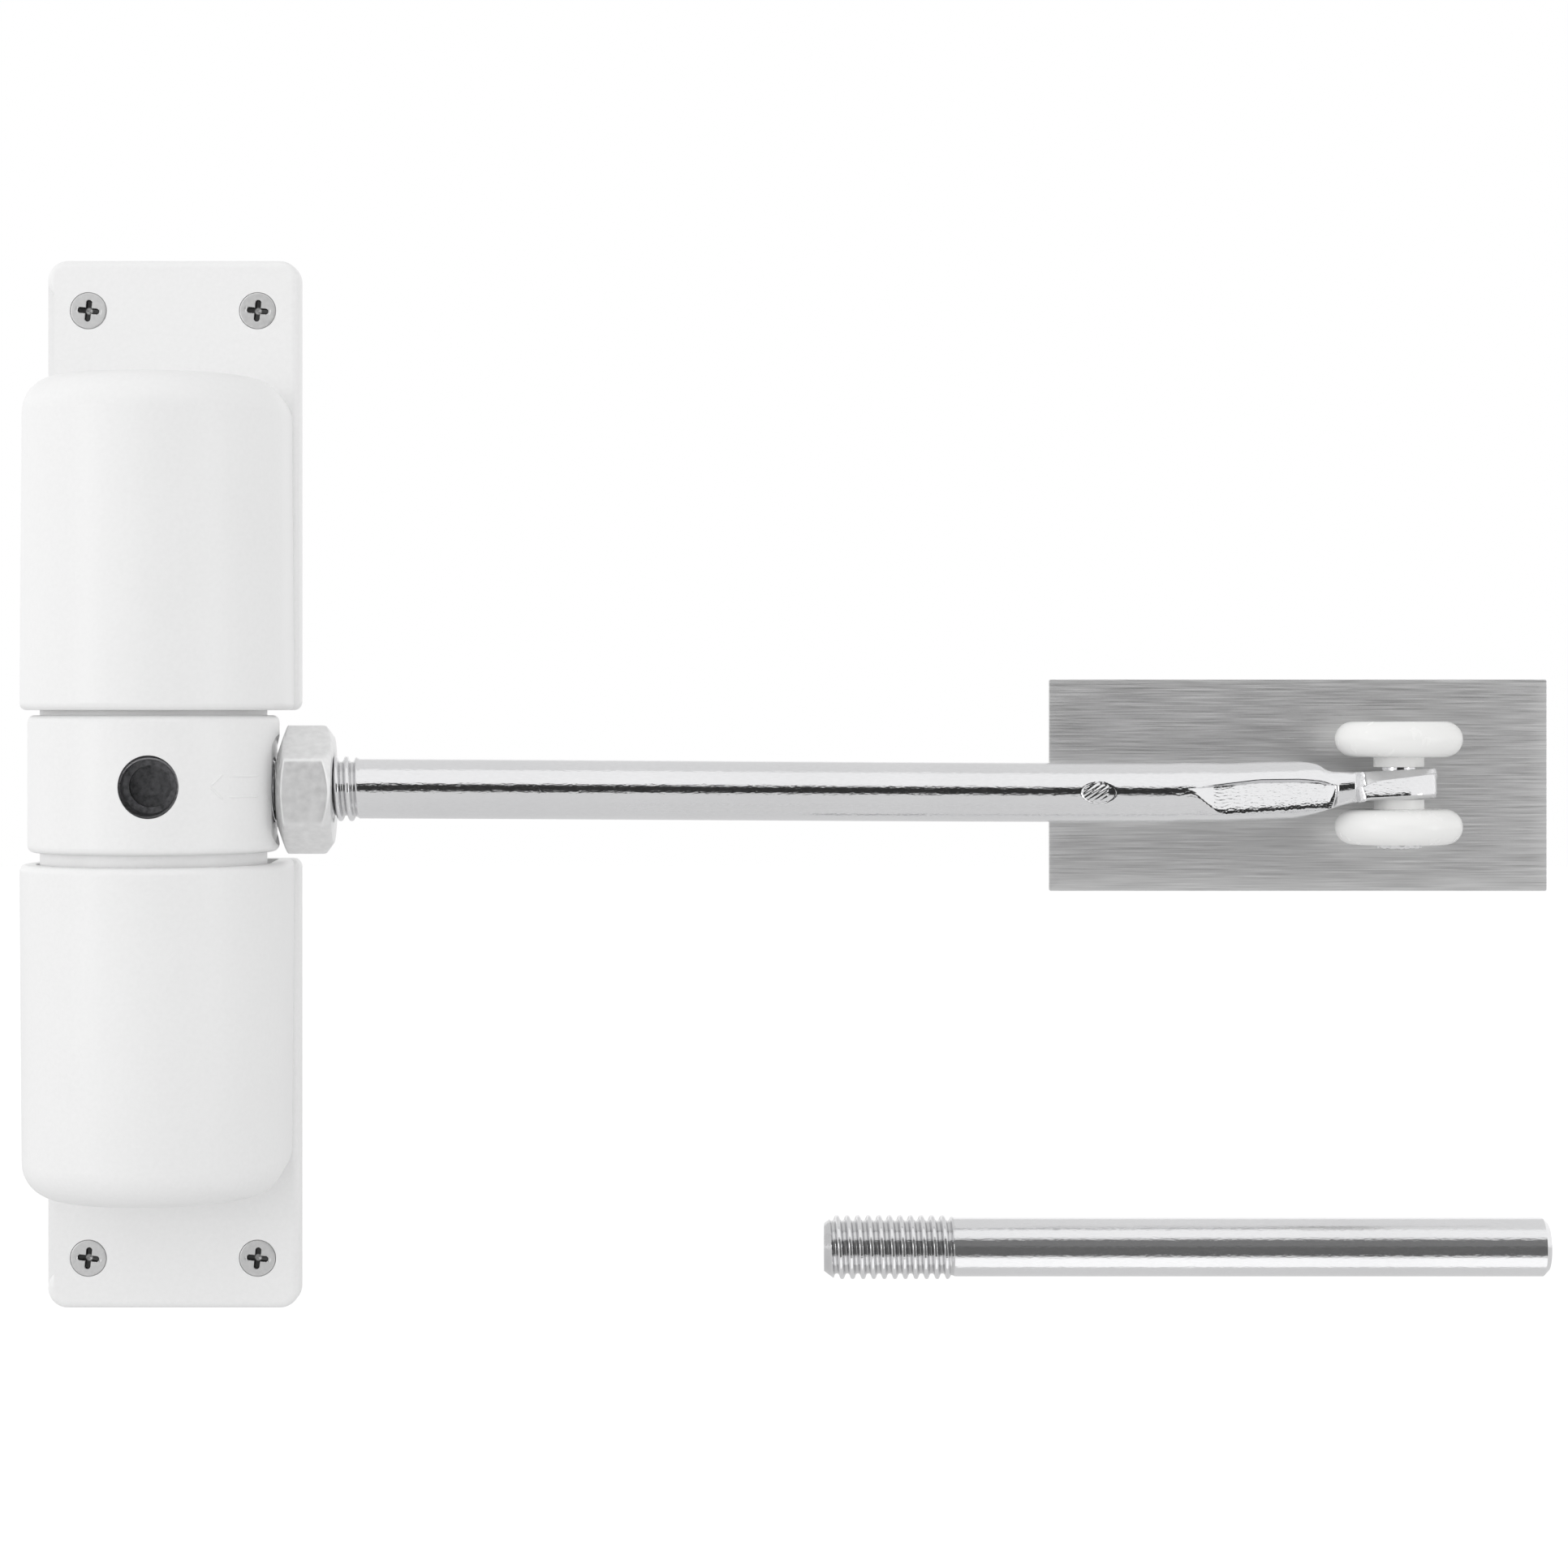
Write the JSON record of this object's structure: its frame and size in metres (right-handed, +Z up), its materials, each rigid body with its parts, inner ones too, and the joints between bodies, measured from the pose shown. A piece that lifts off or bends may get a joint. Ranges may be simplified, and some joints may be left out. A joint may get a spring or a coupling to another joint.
{
  "type": "spring door closer",
  "caption": "Surface-mounted spring door closer: twin spring housings turn a hub whose threaded arm presses rollers against a strike plate to swing a door shut.",
  "frame": {"origin": "centre of the four mounting screws, in the plane of the housings' back faces", "axes": "+Y goes into the wall or door frame that the closer is screwed to, +Z is up along the hub axis, +X points along the closed arm, towards the strike plate"},
  "size_m": [0.2268, 0.0628, 0.158],
  "materials": {
    "white_coating": "white powder coat on die-cast zinc, semi-gloss with a fine orange peel",
    "satin_zinc": "satin zinc plate on steel",
    "bright_zinc": "bright zinc plate on steel, mirror-like with faint drawing marks",
    "brushed_stainless": "brushed along its length",
    "plain_steel": "turned, lightly oiled",
    "spring_steel": "dark oil-tempered spring steel",
    "dark_steel": "dark mottled phosphate on steel",
    "bushing_bronze": "sintered bronze",
    "bearing_nylon": "natural nylon",
    "roller_nylon": "white moulded nylon, satin",
    "adhesive_foam": "white closed-cell foam tape"
  },
  "bodies": {
    "base": {"upper_housing": "white_coating", "lower_housing": "white_coating", "mounting_screws": "satin_zinc", "center_shaft": "plain_steel", "retaining_clips": "spring_steel", "upper_thrust_washer": "bearing_nylon", "lower_thrust_washer": "bearing_nylon", "upper_spacer_sleeve": "plain_steel", "lower_spacer_sleeve": "plain_steel", "upper_spring": "spring_steel", "lower_spring": "spring_steel", "upper_anchor_plug": "plain_steel", "lower_anchor_plug": "plain_steel", "anchor_screws": "satin_zinc", "strike_plate": "brushed_stainless", "adhesive_pad": "adhesive_foam", "adjusting_bar": "bright_zinc"},
    "swing_arm": {"hub_collar": "white_coating", "drive_core": "dark_steel", "upper_bushing": "bushing_bronze", "lower_bushing": "bushing_bronze", "arm_rod": "bright_zinc", "lock_nut": "satin_zinc", "roller_pin": "bright_zinc"},
    "upper_wheel": {"upper_roller": "roller_nylon"},
    "lower_wheel": {"lower_roller": "roller_nylon"}
  },
  "joints": [
    {"name": "arm_swing", "type": "hinge", "parent": "base", "child": "swing_arm", "pos_m": [0, -0.0205, 0], "axis": [0, 0, -1], "range_deg": [0, 120], "stiffness_Nm_per_rad": 2.4, "springref_deg": -34.38, "deforming": ["upper_spring", "lower_spring"]},
    {"name": "upper_roller_spin", "type": "hinge", "parent": "swing_arm", "child": "upper_wheel", "pos_m": [0.18348, -0.01155, 0.0068], "axis": [0, 0, 1], "continuous": true},
    {"name": "lower_roller_spin", "type": "hinge", "parent": "swing_arm", "child": "lower_wheel", "pos_m": [0.18348, -0.01155, -0.0062], "axis": [0, 0, 1], "continuous": true}
  ]
}
